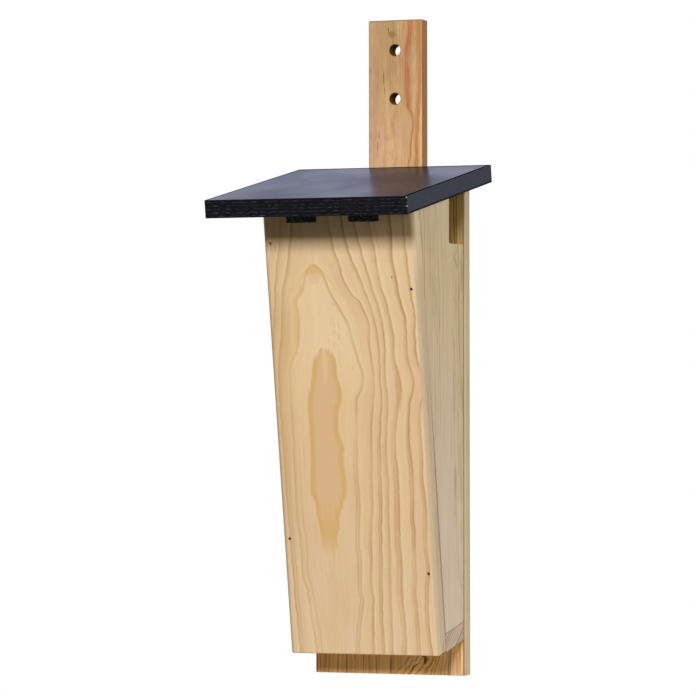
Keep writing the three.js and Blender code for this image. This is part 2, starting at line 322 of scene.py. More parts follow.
def board(place, facing, late, along, tones, seed, figure, ground=None, dull=None):
    """Finishes a board: fibres, tints, resin ticks, sawn ends, sheen and a fine relief. Ground and
    figure paint its own marks on a colour, below and above the late wood."""
    graph = place.graph
    x, y, z = place.parts()
    end = graph.rescale(abs(facing.parts()[2]), 0.75, 0.9, smooth=True)
    fibre = graph.noise(graph.join(along * 9 + seed, y * 1.1, z / 55), 3, 0.6)
    hair = graph.noise(graph.join(along * 26 + seed, y * 2.6, z / 26), 2, 0.6)
    cloud = graph.noise(graph.join(x / 22 + seed, y / 22, z / 95), 2, 0.5)
    patch = graph.noise(graph.join(along * 1.7 + seed, y / 16, z / 150 + 4), 2, 0.5)
    tick = graph.noise(graph.join(x * 1.5 + seed, y * 1.5, z / 7), 1, 0.5)
    ticked = graph.rescale(tick, 0.70, 0.76) * graph.rescale(cloud, 0.45, 0.6)

    blushed = graph.rescale(patch, 0.38, 0.62, smooth=True)
    deepened = graph.rescale(cloud, 0.35, 0.7, smooth=True)
    colour = graph.mix(blushed, tones["early"], tones["blush"])
    colour = graph.mix(deepened * 0.5, colour, tones["deep"])
    if ground:
        colour = ground(colour)
    colour = graph.mix(late, colour, tones["late"])
    streak = (fibre - 0.5) * tones["fibre"] + (hair - 0.5) * (tones["fibre"] * 0.7) + 1.0
    streak = streak - ticked * 0.22
    colour = colour * graph.join(streak, streak, streak)
    colour = figure(colour)
    sawn = graph.mix(late, tones["end"], tones["end_late"])
    colour = graph.mix(end * 0.75, colour, sawn)
    roughness = graph.rescale(fibre, 0.3, 0.7, 0.78, 0.64) + end * 0.15
    if dull:
        roughness = roughness.most(dull)
    relief = late * 0.5 + fibre * 0.7 + hair * 0.5 - ticked * 0.6 + end * tick * 1.5
    return graph.shade(colour, roughness, relief, depth=0.14, Specular_IOR_Level=0.05)


def edge_wood(graph, colour, share, across, along, tones, seed):
    """A board's long edge, where the rings show as fine parallel lines."""
    lines = hairlines(graph, across, along, spacing=6.5, seed=seed)
    plain = graph.mix(lines * 0.55, tones["early"], tones["late"])
    return graph.mix(share, colour, plain)


# The colours of each wood: plain, in pinker and in deeper patches, in the late wood and on sawn
# ends. The last value is how strongly the fibres show.
side_tones = {
    "early": (0.640, 0.510, 0.330), "blush": (0.630, 0.485, 0.350),
    "deep": (0.585, 0.465, 0.290), "late": (0.370, 0.280, 0.150),
    "end": (0.50, 0.40, 0.31), "end_late": (0.39, 0.30, 0.21), "fibre": 0.16,
}
floor_tones = dict(side_tones, end=(0.58, 0.45, 0.40), end_late=(0.15, 0.11, 0.08))
back_tones = {
    "early": (0.600, 0.390, 0.140), "blush": (0.610, 0.365, 0.145),
    "deep": (0.500, 0.300, 0.095), "late": (0.240, 0.120, 0.030),
    "end": (0.40, 0.27, 0.15), "end_late": (0.27, 0.15, 0.07), "fibre": 0.28,
}
batten_tones = {
    "early": (0.700, 0.450, 0.225), "blush": (0.680, 0.385, 0.230),
    "deep": (0.520, 0.330, 0.135), "late": (0.360, 0.185, 0.070),
    "end": (0.30, 0.20, 0.11), "end_late": (0.18, 0.10, 0.05), "fibre": 0.26,
}
front_tones = {
    "early": (0.735, 0.538, 0.305), "blush": (0.745, 0.520, 0.325),
    "deep": (0.690, 0.475, 0.250), "late": (0.455, 0.275, 0.115),
    "end": (0.48, 0.36, 0.22), "end_late": (0.36, 0.23, 0.11), "fibre": 0.16,
}
joint_brown = (0.200, 0.150, 0.085)


# Front panel

# Routes of the grain, as heights above the foot and places right of the middle. The first line on
# each side meets the other at the arch's crown, and the rest follow outwards.
CROWN_X = -28.5
CROWN_TOP = 396
RIGHT_RINGS = [
    [(0, -5.5), (20, -3.5), (40, 0), (50, 2), (56, 3), (62, 1.5), (80, 2), (100, 3), (110, 2),
     (140, 4), (160, 5.5), (180, 4.5), (210, 6), (240, 8), (260, 9.5), (267, 13), (276, 16.5),
     (285, 17.2), (292, 16), (300, 13.5), (320, 8.5), (335, 5), (350, -2), (365, -10),
     (380, -16.5), (388, -19.5), (393, -22.5), (CROWN_TOP, CROWN_X), (460, CROWN_X)],
    [(0, 11), (30, 12), (50, 13), (56, 14), (62, 13), (80, 13), (100, 14.5), (130, 16),
     (150, 19), (180, 20), (200, 21.5), (230, 22.5), (250, 25.5), (270, 28), (285, 28.5),
     (300, 27.5), (320, 26.5), (338, 26.5), (345, 24), (352, 21), (358, 18.5), (365, 11),
     (375, 5.5), (385, 1.5), (395, -0.5), (410, -5), (425, -8), (460, -11)],
    [(0, 22), (40, 22), (60, 23), (100, 25), (130, 26.5), (150, 28.5), (200, 30), (220, 31),
     (240, 33), (255, 35), (280, 35.5), (310, 36), (330, 34.5), (350, 30.5), (370, 24),
     (385, 19), (400, 13), (415, 8.5), (440, 5), (460, 3)],
    [(0, 31), (50, 32), (100, 34), (150, 35.5), (185, 37), (205, 36.5), (225, 38),
     (245, 40.5), (260, 41.5), (290, 41), (310, 42), (330, 41.5), (350, 38.5), (370, 33),
     (390, 28), (410, 23), (430, 19), (460, 16)],
    [(0, 44.5), (30, 46), (60, 44.5), (100, 46), (115, 45.5), (150, 47), (190, 47.5),
     (215, 46.5), (235, 49), (255, 53), (265, 55.5), (275, 56.3), (285, 54.8), (300, 52),
     (325, 52), (345, 49), (360, 45.5), (380, 40.5), (395, 38.5), (410, 37), (425, 35),
     (460, 33)],
    [(0, 59.5), (30, 60), (50, 59.5), (60, 58.5), (80, 60), (100, 61), (115, 61.2),
     (125, 62), (140, 61), (160, 62.5), (185, 63.3), (220, 62), (245, 63.5), (258, 65.5),
     (268, 69), (276, 70.7), (288, 68.5), (300, 65.5), (315, 65.3), (330, 66), (342, 65.5),
     (355, 62), (380, 58.5), (400, 55.5), (420, 56), (460, 55)],
    [(0, 73), (25, 71), (60, 71.5), (90, 74.5), (110, 73), (140, 74.5), (160, 75),
     (175, 74), (215, 74.5), (240, 74.5), (255, 76.5), (265, 79), (285, 79), (293, 77),
     (302, 75), (320, 74.5), (342, 75.7), (360, 73.5), (390, 71.5), (420, 69.5), (460, 70)],
]
LEFT_RINGS = [
    [(0, -52), (25, -54), (50, -57), (66, -58.5), (80, -62), (110, -62), (140, -64),
     (180, -63.5), (230, -62.5), (270, -62.5), (290, -61.5), (300, -58), (310, -53),
     (330, -49.5), (350, -49), (357, -50.5), (361, -50), (366, -45), (372, -41.5),
     (382, -39.5), (388, -37.5), (393, -34.5), (CROWN_TOP, CROWN_X), (460, CROWN_X)],
    [(0, -70), (50, -71.5), (120, -73), (200, -74), (270, -74.2), (300, -72), (320, -68.5),
     (350, -66), (370, -63.5), (390, -58), (400, -55.5), (410, -54), (425, -51), (460, -49)],
    [(0, -79), (300, -79), (310, -78), (340, -75), (360, -72.5), (380, -70.5), (400, -67),
     (420, -63.5), (460, -61)],
]
FLAME_LEFT = [
    (0, -31), (95, -31), (97, -35), (108, -37.8), (122, -39), (135, -41), (142, -42.5),
    (152, -43), (160, -45), (166, -47), (180, -46.5), (200, -45), (240, -44), (262, -43),
    (272, -40.5), (285, -37.5), (300, -34.5), (306, -32), (309, -29), (312, -25), (460, -25)]
FLAME_RIGHT = [
    (0, -31), (95, -31), (97, -26.5), (108, -22.5), (122, -21), (128, -18.5), (142, -18),
    (148, -15), (153, -12.5), (160, -11), (166, -8.5), (200, -9.5), (210, -8), (216, -9.5),
    (228, -13), (240, -12.5), (250, -11), (257, -8), (266, -7), (275, -7.5), (281, -10),
    (300, -11), (305, -13.5), (309, -17), (312, -25), (460, -25)]
TORN_MARKS = [
    ((-9, 334), (7, 34), 1), ((4.5, 300), (5, 16), 1), ((-66, 414), (9, 10), 1),
    ((-48, 420), (6, 10), 1), ((12, 416), (5, 9), 1), ((38, 424), (5, 11), 1),
    ((-33, 374), (4, 8), 1)]


def front_lines(graph, at, z):
    """The arch and its lines: their late wood, their count, and where they run right and left."""
    here = graph.join(at, at, at)
    inner = graph.courses(z, RIGHT_RINGS[0:3])
    middle = graph.courses(z, RIGHT_RINGS[3:6])
    outer = graph.courses(z, [RIGHT_RINGS[6], *LEFT_RINGS[0:2]])
    last_left = graph.courses(z, LEFT_RINGS[2:]).parts()[0]
    right = inner.parts() + middle.parts() + outer.parts()[:1]
    left = outer.parts()[1:] + [last_left]

    # The count rises by one from line to line, for the fibres to follow
    steps = [
        graph.rescale3(here, graph.join(*right[first:first + 3]),
                       graph.join(*right[first + 1:first + 4])).dot((1, 1, 1))
        for first in (0, 3)]
    count = steps[0] + steps[1] + (at - right[6]).most(0.0) / 12
    count = count + graph.rescale(at, left[0], right[0], -3, 0)
    count = count - graph.rescale(at, left[0], left[1]) - graph.rescale(at, left[1], left[2])
    count = count - (left[2] - at).most(0.0) / 9

    def band(routes, widths, strengths, outward=1.0, shift=(0, 0, 0)):
        """Late wood, which darkens softly towards a line and stops sharply just past it."""
        inward = (routes - here - shift) * outward
        darkest, stop = 0.5, -0.9
        rise = graph.rescale3(inward, widths, (darkest, darkest, darkest))
        fall = graph.rescale3(inward, (stop, stop, stop), (darkest, darkest, darkest))
        return (rise * rise * fall).dot(strengths)

    outwards = (1.0, -1.0, -1.0)
    crowned = graph.rescale(z, CROWN_TOP + 0.5, CROWN_TOP - 1)
    inner_strengths = graph.join(crowned * 0.52, 0.64, 0.70)
    outer_strengths = graph.join(0.78, crowned * 0.42, 0.52)
    late = band(inner, widths=(5.2, 4.6, 4.4), strengths=inner_strengths)
    late = late + band(middle, widths=(4.2, 6.4, 5.6), strengths=(0.66, 0.80, 0.82))
    late = late + band(outer, (4.8, 4.6, 4.8), outer_strengths, outwards)
    late = late + band(graph.join(last_left, 0, 0), (4.0, 4.0, 4.0), (0.4, 0, 0), outward=-1.0)

    # Low down, most lines have a thinner twin on their inner side
    lower = graph.rescale(z, 255, 150, smooth=True)
    twin = band(inner, (1.9, 1.7, 1.6), (0.55, 0.2, 0.5), shift=(3.6, 2.4, 2.7))
    twin = twin + band(middle, (1.5, 2.2, 1.8), (0.25, 0.55, 0.5), shift=(2.4, 4.6, 3.2))
    twin = twin + band(outer, (1.8, 1.8, 1.8), (0.45, 0.4, 0.4), outwards, (3.1, -6.5, -4))
    patch = graph.noise(graph.join(count * 2.0, 0.5, z / 45), 2, 0.5)
    late = (late + twin * lower) * graph.rescale(patch, 0.3, 0.62, 0.5, 1.15)
    late = (late * graph.rescale(z, 270, 330, 1.0, 1.15)).clamped()
    return late, count, right, left


def front_crown(graph, x, z, tremor):
    """The yellow glow under the arch's line, strong at its crown and weak along its legs."""
    aside = abs(x - CROWN_X + tremor * 3)
    below = CROWN_TOP + 12.5 - z - (aside * aside + 60).root() * 1.5
    leg = graph.rescale(below, 5.0, 2.0) * 0.6
    crown = graph.rescale(below, -1.0, 1.5, smooth=True)
    crown = crown * graph.rescale(z + tremor * 6, 379, 391, smooth=True).most(leg)
    return crown * graph.rescale(aside, 12, 26, 1.0, 0.0)


def front_flame(graph, x, y, z, at):
    """The heartwood, whose ends fray into the sapwood: where it lies, and its colour."""
    ragged = graph.noise(graph.join(x / 1.6, y, z / 60), 2, 0.7) - 0.5
    frayed = graph.noise(graph.join(x / 3.2 + 9, y, z / 90), 2, 0.6) - 0.5
    tattered = graph.rescale(z, 270, 300, 14, 34)
    flame_edges = graph.courses(z + ragged * tattered + frayed * 16, [FLAME_LEFT, FLAME_RIGHT])
    low, high, _ = flame_edges.parts()
    inside = (at * 0.5 + x * 0.5 - low).least(high - at * 0.5 - x * 0.5)
    flame = graph.rescale(inside, -1.0, 1.3, smooth=True)
    flame = flame * graph.rescale(z + ragged * 44, 98, 120) * graph.rescale(z, 314, 311)
    rim = graph.rescale(inside + ragged * 4.0, 2.6, 7.6, 1.0, 0.0, smooth=True)
    rim = rim.most(graph.rescale(z + ragged * 24, 156, 128) * 0.7)
    pale_heart = spot(graph, x + ragged * 3, z, (-23, 298), (3.2, 26))
    heart = graph.mix(rim, (0.685, 0.445, 0.250), (0.630, 0.395, 0.140))
    return flame, graph.mix(pale_heart * 0.7, heart, (0.740, 0.525, 0.310))


def front_pine():
    """An arch over long wavering lines, with a heartwood flame up its middle."""
    graph = new_material("front_pine")
    place, facing = graph.space(front_foot, LEAN), graph.facing(LEAN)
    x, y, z = place.parts()

    # The place across the board trembles, so that no line is quite smooth
    tremor = graph.noise(graph.join(x / 16, y / 16, z / 13), 2, 0.55) - 0.5
    jitter = graph.noise(graph.join(x * 1.1, y, z / 5), 1, 0.5) - 0.5
    at = x + tremor * 2.6 + jitter * 0.7
    late, count, right, left = front_lines(graph, at, z)
    crown = front_crown(graph, x, z, tremor)
    flame, heart = front_flame(graph, x, y, z, at)

    # Between two lines the wood goes from cream, just past a line, to tan before the next
    share = count.fraction()
    past = graph.rescale(at, right[0], right[0] + 0.6)
    before = graph.rescale(at, left[0], left[0] - 0.6)
    tan = (share * share * past + (1 - share) * (1 - share) * before).clamped()
    cream = graph.rescale(share, 0.04, 0.4, 1, 0) * past
    cream = cream + graph.rescale(share, 0.96, 0.6, 1, 0) * before
    arch = (1 - past) * (1 - before) * graph.rescale(z, 150, 330, smooth=True)

    # Colours that follow the lines
    banded = graph.noise(graph.join(count * 5.5, 0.5, z / 120), 2, 0.6)
    between = graph.rescale(count, -0.2, 0.4)
    rosy = graph.noise(graph.join(count * 2.6 + 5, 0.5, z / 140), 1, 0.5)
    rosy = graph.rescale(rosy, 0.52, 0.64, smooth=True) * between
    red_line = graph.near(at - right[6] + 0.5, 0.4, 1.8)
    red_line = red_line * graph.rescale(z, 30, 40) * graph.rescale(z, 75, 62)
    red_band = graph.near(at - right[4] + 3.0, 0.8, 3.6, smooth=True)
    red_band = red_band * graph.rescale(z, 85, 115) * graph.rescale(z, 200, 165)
    golden_leg = graph.near(at - left[0] + 1.2, 0.8, 4.2, smooth=True)
    golden_leg = golden_leg * graph.rescale(z + jitter * 20, 285, 325) * graph.rescale(z, 384, 372)
    swollen_line = spot(graph, at, z, (53.3, 272), (4.2, 25))

    # Colours that belong to a place, and painted shade at the right edge and along the foot
    blush = spot(graph, x, z, (CROWN_X, 380.5), (7, 5))
    paler = graph.rescale(z, 260, 40, smooth=True)
    upper = graph.rescale(z, 250, 320, smooth=True) * graph.rescale(x, -60, -30)
    # Painted shade that darkens the rounded right arris of the face
    right_edge_painted_shade = graph.rescale(x, half_box - 4, half_box - 1)
    left_edge = graph.rescale(x, -52, -66, smooth=True) * spot(graph, x, z, (-70, 240), (60, 150))
    fibres = graph.noise(graph.join(x * 0.8 + z * 0.08, y, z / 11), 2, 0.6)
    torn = spots(graph, x, z, TORN_MARKS).most(spot(graph, x + z * 0.35, z, (62, 345), (6, 32)))
    torn = torn * graph.rescale(fibres, 0.57, 0.64)
    dot = spot(graph, x, z, (53.5, 382), (0.9, 2.2))
    # Painted shade: a dark line along the bottom edge of the face
    foot_line_painted_shade = graph.rescale(z, 1.2, 0.5)

    # The long edges, where the face turns into the side, with painted shade on the rounded arris
    sideways = abs(facing.parts()[0])
    side_on = graph.rescale(sideways, 0.2, 0.6, smooth=True)
    arris_painted_shade = graph.rescale(sideways, 0.3, 0.5) * graph.rescale(sideways, 0.99, 0.8)
    # Painted light: the edge strip is lightened where the roof shades it
    painted_light_under_roof = side_on * graph.rescale(z, 380, 430)

    def sapwood(colour):
        colour = graph.coats(colour, [
            (arch, 0.5, (0.800, 0.600, 0.360)),
            (cream, 0.5, (0.810, 0.610, 0.370)),
            (tan, 0.45, (0.655, 0.440, 0.235))])
        colour = graph.tint(colour, paler, (0.945, 0.965, 1.06))
        colour = graph.tint(colour, upper, (1.025, 1.05, 1.10))
        # Painted shade on the rounded right arris
        colour = graph.mix(right_edge_painted_shade * 0.7, colour, (0.570, 0.440, 0.275))
        colour = graph.tint(colour, left_edge, (0.92, 0.90, 0.87))
        return graph.coats(colour, [
            (graph.rescale(banded, 0.52, 0.66) * between, 0.45, (0.760, 0.510, 0.350)),
            (graph.rescale(banded, 0.46, 0.34) * between, 0.45, (0.760, 0.600, 0.340)),
            (rosy, 0.45, (0.700, 0.450, 0.285)),
            (blush, 0.5, (0.730, 0.460, 0.270))])

    def figure(colour):
        colour = graph.coats(colour, [
            (swollen_line, 0.5, (0.560, 0.320, 0.130)),
            ((red_line * 0.6).most(red_band * 0.45), 1, (0.620, 0.370, 0.235)),
            (golden_leg, 0.65, (0.680, 0.450, 0.180)),
            (crown, 0.75, (0.650, 0.425, 0.170)),
            (flame, 0.85, heart),
            (torn, 0.42, (0.420, 0.300, 0.150)),
            (dot, 0.7, (0.200, 0.120, 0.050))])
        colour = edge_wood(graph, colour, side_on, y, z, side_tones, seed=5.0)
        # Painted shade on the rounded arris
        colour = graph.tint(colour, arris_painted_shade, (0.74, 0.73, 0.75))
        colour = graph.tint(colour, side_on * (1 - arris_painted_shade), (0.87, 0.86, 0.91))
        # Painted light under the roof
        colour = graph.tint(colour, painted_light_under_roof, (1.35, 1.35, 1.4))
        # Painted shade along the bottom edge
        return graph.mix(foot_line_painted_shade * 0.6, colour, (0.250, 0.150, 0.060))

    return board(place, facing, late, count, front_tones, seed=3.0, figure=figure, ground=sapwood)


# Side boards and floor


def side_pine(name, pith, seed):
    """Fine upright lines that close into narrow arches, paler at the foot."""
    graph = new_material(name)
    place, facing = graph.space(back_foot), graph.facing()
    _, y, z = place.parts()
    late, count = growth_rings(graph, place, pith, lean=(0.07, 0.03), spacing=6.5, seed=seed,
                               waver=0.8)
    lines = hairlines(graph, y + z * 0.03, z, spacing=8.5, seed=seed)
    fine = hairlines(graph, y + z * 0.02, z, spacing=4.2, seed=seed + 30)
    quiet_strip = graph.rescale(abs(y + 88), 14, 26, 0.35, 1.0, smooth=True)
    slanting = hairlines(graph, y + z * 0.7, z, spacing=10.0, seed=seed + 7)
    slanting = slanting * spot(graph, y, z, (-46, 385), (30, 75))
    dark = (late * 0.6 + lines * 0.8 + fine * 0.45).clamped()
    dark = dark * quiet_strip * graph.rescale(z, 90, 330, 0.5, 1.0)
    dark = dark.most(slanting * 0.7)

    behind_front = graph.space(front_foot, LEAN).parts()[1]
    joint = graph.rescale(behind_front, thickness + 1.4, thickness + 3.6, 1.0, 0.0)
    joint = joint * graph.rescale(z, 330, 200, 0.3, 1.0)
    low = graph.rescale(z, 430, 60, smooth=True)
    # Painted light: the side is lightened where the roof shades it
    painted_light_under_roof = graph.rescale(z, 400, 555, smooth=True)
    green = graph.rescale(graph.noise(graph.join(y / 7 + seed, z / 160, 0.5), 1), 0.5, 0.65)

    def figure(colour):
        colour = graph.tint(colour, low, (1.04, 1.06, 1.34), elsewhere=(0.97, 0.97, 0.97))
        # Painted light under the roof
        colour = graph.tint(colour, painted_light_under_roof, (1.50, 1.56, 1.74))
        return graph.coats(colour, [
            (green, 0.3, (0.600, 0.520, 0.330)),
            (joint, 0.8, joint_brown)])

    return board(place, facing, dark, count * 0.4, side_tones, seed=seed, figure=figure)


def floor_pine():
    """A board whose grain runs from side to side, so that its ends show slanting rings."""
    graph = new_material("floor_pine")
    x, y, z = graph.space(front_foot, LEAN).parts()
    place = graph.join(z - y * 0.5, y * 0.2, x)
    nx, ny, nz = graph.facing(LEAN).parts()
    facing = graph.join(nz, ny, nx)
    late, count = growth_rings(graph, place, pith=(-90, 0), lean=(0, 0), spacing=4.0, seed=21.0,
                               waver=0.4, contrast=1.2)
    joint = graph.rescale(y, thickness + 2.2, thickness + 4.4, 1.0, 0.0)
    joint = joint.most(graph.rescale(z, thickness - 0.8, thickness - 0.2) * 0.4)

    def outlined(colour):
        return graph.mix(joint * 0.75, colour, joint_brown)

    return board(place, facing, late, count * 0.3, floor_tones, seed=21.0, figure=outlined)


# Back panel, with a knot at its foot

KNOT = (38, 15)
KNOT_SWEEP = (-0.70, -0.714)
KNOT_CRACK = [(0, 20.5), (4, 24), (10.4, 29), (11.2, 32), (11.9, 36), (13, 38), (30, 38)]


def back_pine():
    """Brown lines that bend round a cracked knot and sweep down to its left."""
    graph = new_material("back_pine")
    place, facing = graph.space(back_foot), graph.facing()
    x, y, z = place.parts()
    sideways, rearwards, _ = facing.parts()
    wild = graph.noise(place / 7, 2, 0.6) - 0.5

    # The sweep is the distance to a half-line that runs from the knot down to the left
    aside = x - KNOT[0] + wild * 3
    up = z - KNOT[1] + wild * 3
    along = (aside * KNOT_SWEEP[0] + up * KNOT_SWEEP[1]).most(0.0)
    beside = aside - along * KNOT_SWEEP[0]
    above = up - along * KNOT_SWEEP[1]
    sweep = (beside * beside + above * above).root()

    # Near the knot the grain leans over
    pull = graph.rescale((aside * aside + up * up).root(), 5, 32, 1.0, 0.0, smooth=True)
    swept = x - pull * (z - 8) * 0.55 + (graph.noise(place / 12, 2, 0.5) - 0.5) * 5 * pull
    bent = graph.join(swept, y, z)
    late, count = growth_rings(graph, bent, pith=(20, 60), lean=(0.02, 0), spacing=3.1, seed=17.0,
                               contrast=2.4)
    lines = hairlines(graph, swept, z, spacing=3.4, seed=17.0)
    near_knot = graph.rescale(sweep, 6, 20, 1.0, 0.0, smooth=True)
    near_knot = near_knot * graph.rescale(z, 24, 34, 1.0, 0.0)
    around = graph.near((sweep / 5.2 + wild * 1.2).fraction() - 0.5, 0.03, 0.2) * near_knot
    dark = (late * 0.75 + lines * (1 - near_knot * 0.7) + around * 0.8).clamped()
    crack = graph.courses(z, [KNOT_CRACK], span=30).parts()[0]
    cracked = graph.near(x - crack + wild, 0.5, 1.3) * graph.rescale(z, 14, 12)
    core = spot(graph, x + wild * 6, z, (38.4, 15.0), (2.0, 4.6))
    core = core.most(spot(graph, x + wild * 3, z + wild * 3, (37.8, 22), (5.4, 5.2)))
    core = core.most(spot(graph, x, z, (50, 14), (0.9, 1.2)) * 0.7).most(cracked * 0.75)
    heart = graph.mix(graph.rescale(wild, -0.15, 0.15), (0.070, 0.024, 0.008), (0.200, 0.085, 0.030))

    front_face = graph.rescale(rearwards, -0.5, -0.9)
    rear_face = graph.rescale(rearwards, 0.5, 0.9)
    side_on = graph.rescale(abs(sideways), 0.6, 0.9, smooth=True)
    # Painted light: the front of the foot, which lies in the box's shade, gets its own raised tint
    foot = graph.rescale(z, 32, 20, smooth=True) * front_face
    # Painted light: a tint where the lamp reaches the foot's right end past the box's shadow
    lit_end_painted_light = graph.rescale(x, 52, 67, smooth=True) * foot * graph.rescale(x, 78, 70, 0.5, 1.0)
    olive = graph.rescale(graph.noise(graph.join(swept / 3.2, y / 20, z / 60), 1), 0.48, 0.62)
    sapwood = graph.rescale(x, half_box - 0.5, half_box + 0.3).most(side_on)
    # Painted shade on the narrow front ledge beside the side board, darkest against it
    ledge_painted_shade = graph.rescale(x, half_box - 1, half_box - 0.5) * front_face
    ledge_shade = ledge_painted_shade * graph.rescale(x, half_box + 2, half_box + 1.2)
    # Painted shade on the rounded rear edge of the board's sides
    rear_edge_painted_shade = graph.rescale(y, back_high.y - 5.2, back_high.y - 1.2) * side_on

    def figure(colour):
        # Painted light on the shaded foot, and a raised tint on the rest of the board
        colour = graph.tint(colour, foot, (1.46, 1.36, 1.66), elsewhere=(1.46, 1.56, 1.60))
        colour = graph.tint(colour, rear_face, (0.86, 0.92, 1.35))
        # Painted light at the foot's lit right end
        colour = graph.tint(colour, lit_end_painted_light, (0.96, 1.02, 1.25))
        colour = graph.mix(olive * 0.25, colour, colour * (0.82, 0.98, 0.75))
        colour = graph.mix(core, colour, heart)
        colour = edge_wood(graph, colour, sapwood, y, z, side_tones, seed=9.0)
        colour = graph.tint(colour, sapwood, (0.88, 0.88, 0.90))
        return graph.coats(colour, [
            # Painted shade on the front ledge and against the side board
            (ledge_painted_shade, 1, (0.420, 0.320, 0.190)),
            (ledge_shade, 0.8, (0.170, 0.095, 0.040)),
            # Painted shade on the rounded rear edge
            (rear_edge_painted_shade, 0.6, (0.250, 0.225, 0.160))])

    return board(place, facing, dark, count * 0.35, back_tones, seed=17.0, figure=figure)


# Hanging batten

# Routes of the coloured streaks, as heights above the foot and places right of the middle
BATTEN_RED = [
    (500, 18), (510, 15.5), (522, 14.5), (530, 16.5), (543, 17.2), (552, 18), (562, 19.5),
    (572, 18.5), (580, 15), (591, 14), (611, 13.5), (632, 13), (645, 14.5), (655, 16.5),
    (670, 16.5)]
BATTEN_ORANGE = [
    (500, 23), (540, 23), (560, 23.6), (580, 25.5), (600, 26.2), (640, 26), (670, 25.2)]
BATTEN_LEFT = [(500, -23), (530, -22), (560, -23.5), (600, -22.5), (630, -24.5), (670, -22)]
KNOT_SHADE = ((-3.5, 656), (4.5, 3.6), 0.55)
BATTEN_MARKS = [
    ((-7.2, 660), (0.7, 4.5), 0.8), ((-12.4, 611), (0.6, 9), 0.9), ((-11.6, 598), (0.6, 5), 0.7),
    ((-19, 541), (0.6, 7), 0.9), ((-17.6, 552), (0.6, 5), 0.6), ((3.2, 640), (0.5, 7), 0.5),
    ((9.6, 664), (0.5, 5), 0.8), ((-3, 655), (5.5, 3.2), 0.45)]


def batten_pine():
    """Reddish wood with a red and an orange streak, and brown edges."""
    graph = new_material("batten_pine")
    place, facing = graph.space(back_foot), graph.facing()
    x, y, z = place.parts()
    tremor = graph.noise(graph.join(x / 9, y / 9, z / 12), 2, 0.6) - 0.5
    at = x + tremor * 2.2
    late, count = growth_rings(graph, place, pith=(5, 45), lean=(0.01, 0), spacing=5.5, seed=19.0,
                               waver=1.3, contrast=5.0)
    lines = hairlines(graph, at, z, spacing=3.2, seed=19.0)
    dark = (late * 0.35 + lines * 0.28).clamped()

    routes = [BATTEN_RED, BATTEN_ORANGE, BATTEN_LEFT]
    red, orange, left = graph.courses(z, routes, start=500, span=170, reach=40).parts()
    upper = graph.rescale(z + tremor * 16, 565, 590, smooth=True)
    torn = graph.noise(graph.join(x / 2.2, y / 9, z / 22), 2, 0.6)
    reddened = graph.rescale(abs(at - red), 0.3, upper * 4.6 + 1.8, 1.0, 0.0, smooth=True)
    reddened = reddened * graph.rescale(torn, 0.34, 0.56, 0.35, 1.0)
    oranged = graph.near(at - orange, 0.8, 3.2, smooth=True)
    oranged = oranged * graph.rescale(torn, 0.62, 0.42, 0.45, 1.0)
    red_line = graph.near(at - red + upper * 1.6, 0.15, 0.9)
    orange_line = graph.near(at - orange - 1.6, 0.1, 0.7)
    creamy = graph.rescale(abs(at - 20.5), 3.2, 1.2) * graph.rescale(torn, 0.46, 0.6)
    creamy = creamy.most(graph.rescale(abs(at - 3.5), 4.5, 1.5) * graph.rescale(torn, 0.52, 0.62))
    pinked = graph.near(at - left, 0.5, 3.0, smooth=True)
    mottled = graph.noise(graph.join(x / 7, y / 9, z / 16), 3, 0.6)
    mottled = graph.rescale(mottled, 0.48, 0.64) * graph.rescale(at, 9, 4)
    left_margin = graph.rescale(at, -25, -28)
    top = batten_high.z - batten_low.z
    rimmed = graph.rescale(x, batten_low.x + 1.1, batten_low.x + 0.2)
    rimmed = rimmed.most(graph.rescale(z, top - 1.85, top - 0.65))
    marks = spots(graph, x, z, [KNOT_SHADE]).most(spots(graph, x + tremor, z, BATTEN_MARKS))
    lower = graph.rescale(z, 655, 525, smooth=True)

    # The wall of each hanging hole, darkened with painted shade, and the brown side faces
    up = abs(z + batten_low.z) - HANGING_HOLE_SPACING / 2
    from_wall = (x * x + up * up).root() - HANGING_HOLE_RADIUS
    bore_painted_shade = graph.rescale(from_wall, 0.15, 0.6, 1.0, 0.0)
    side_on = graph.rescale(abs(facing.parts()[0]), 0.55, 0.9, smooth=True)
    brown_lines = hairlines(graph, y, z, spacing=7.0, seed=4.0)
    brown = graph.mix(brown_lines * 0.6, (0.325, 0.170, 0.072), (0.195, 0.096, 0.040))
    brown = graph.mix(graph.rescale(y, -5, -1), brown, (0.190, 0.120, 0.060))

    def figure(colour):
        colour = graph.tint(colour, lower, (1.07, 1.10, 1.10), elsewhere=(0.84, 0.84, 0.84))
        return graph.coats(colour, [
            (mottled, 0.5, (0.470, 0.265, 0.160)),
            (pinked, 0.45, (0.600, 0.370, 0.270)),
            (left_margin, 0.5, (0.500, 0.400, 0.200)),
            (rimmed, 0.6, (0.220, 0.150, 0.060)),
            (creamy, 0.5, (0.740, 0.520, 0.270)),
            (reddened, upper * 0.4 + 0.4, (0.480, 0.135, 0.050)),
            (red_line, 0.6, (0.400, 0.140, 0.060)),
            (oranged, 0.95, (0.550, 0.215, 0.075)),
            (orange_line, 0.5, (0.380, 0.160, 0.060)),
            (marks, 1, (0.230, 0.120, 0.050)),
            (side_on, 1, brown),
            # Painted shade in the hanging holes
            (bore_painted_shade, 1, (0.170, 0.060, 0.010))])

    return board(place, facing, dark, count * 0.5, batten_tones, seed=19.0, figure=figure, dull=bore_painted_shade)


# Roof

VENEER = 1.8
STREAK_ROW = 3.4


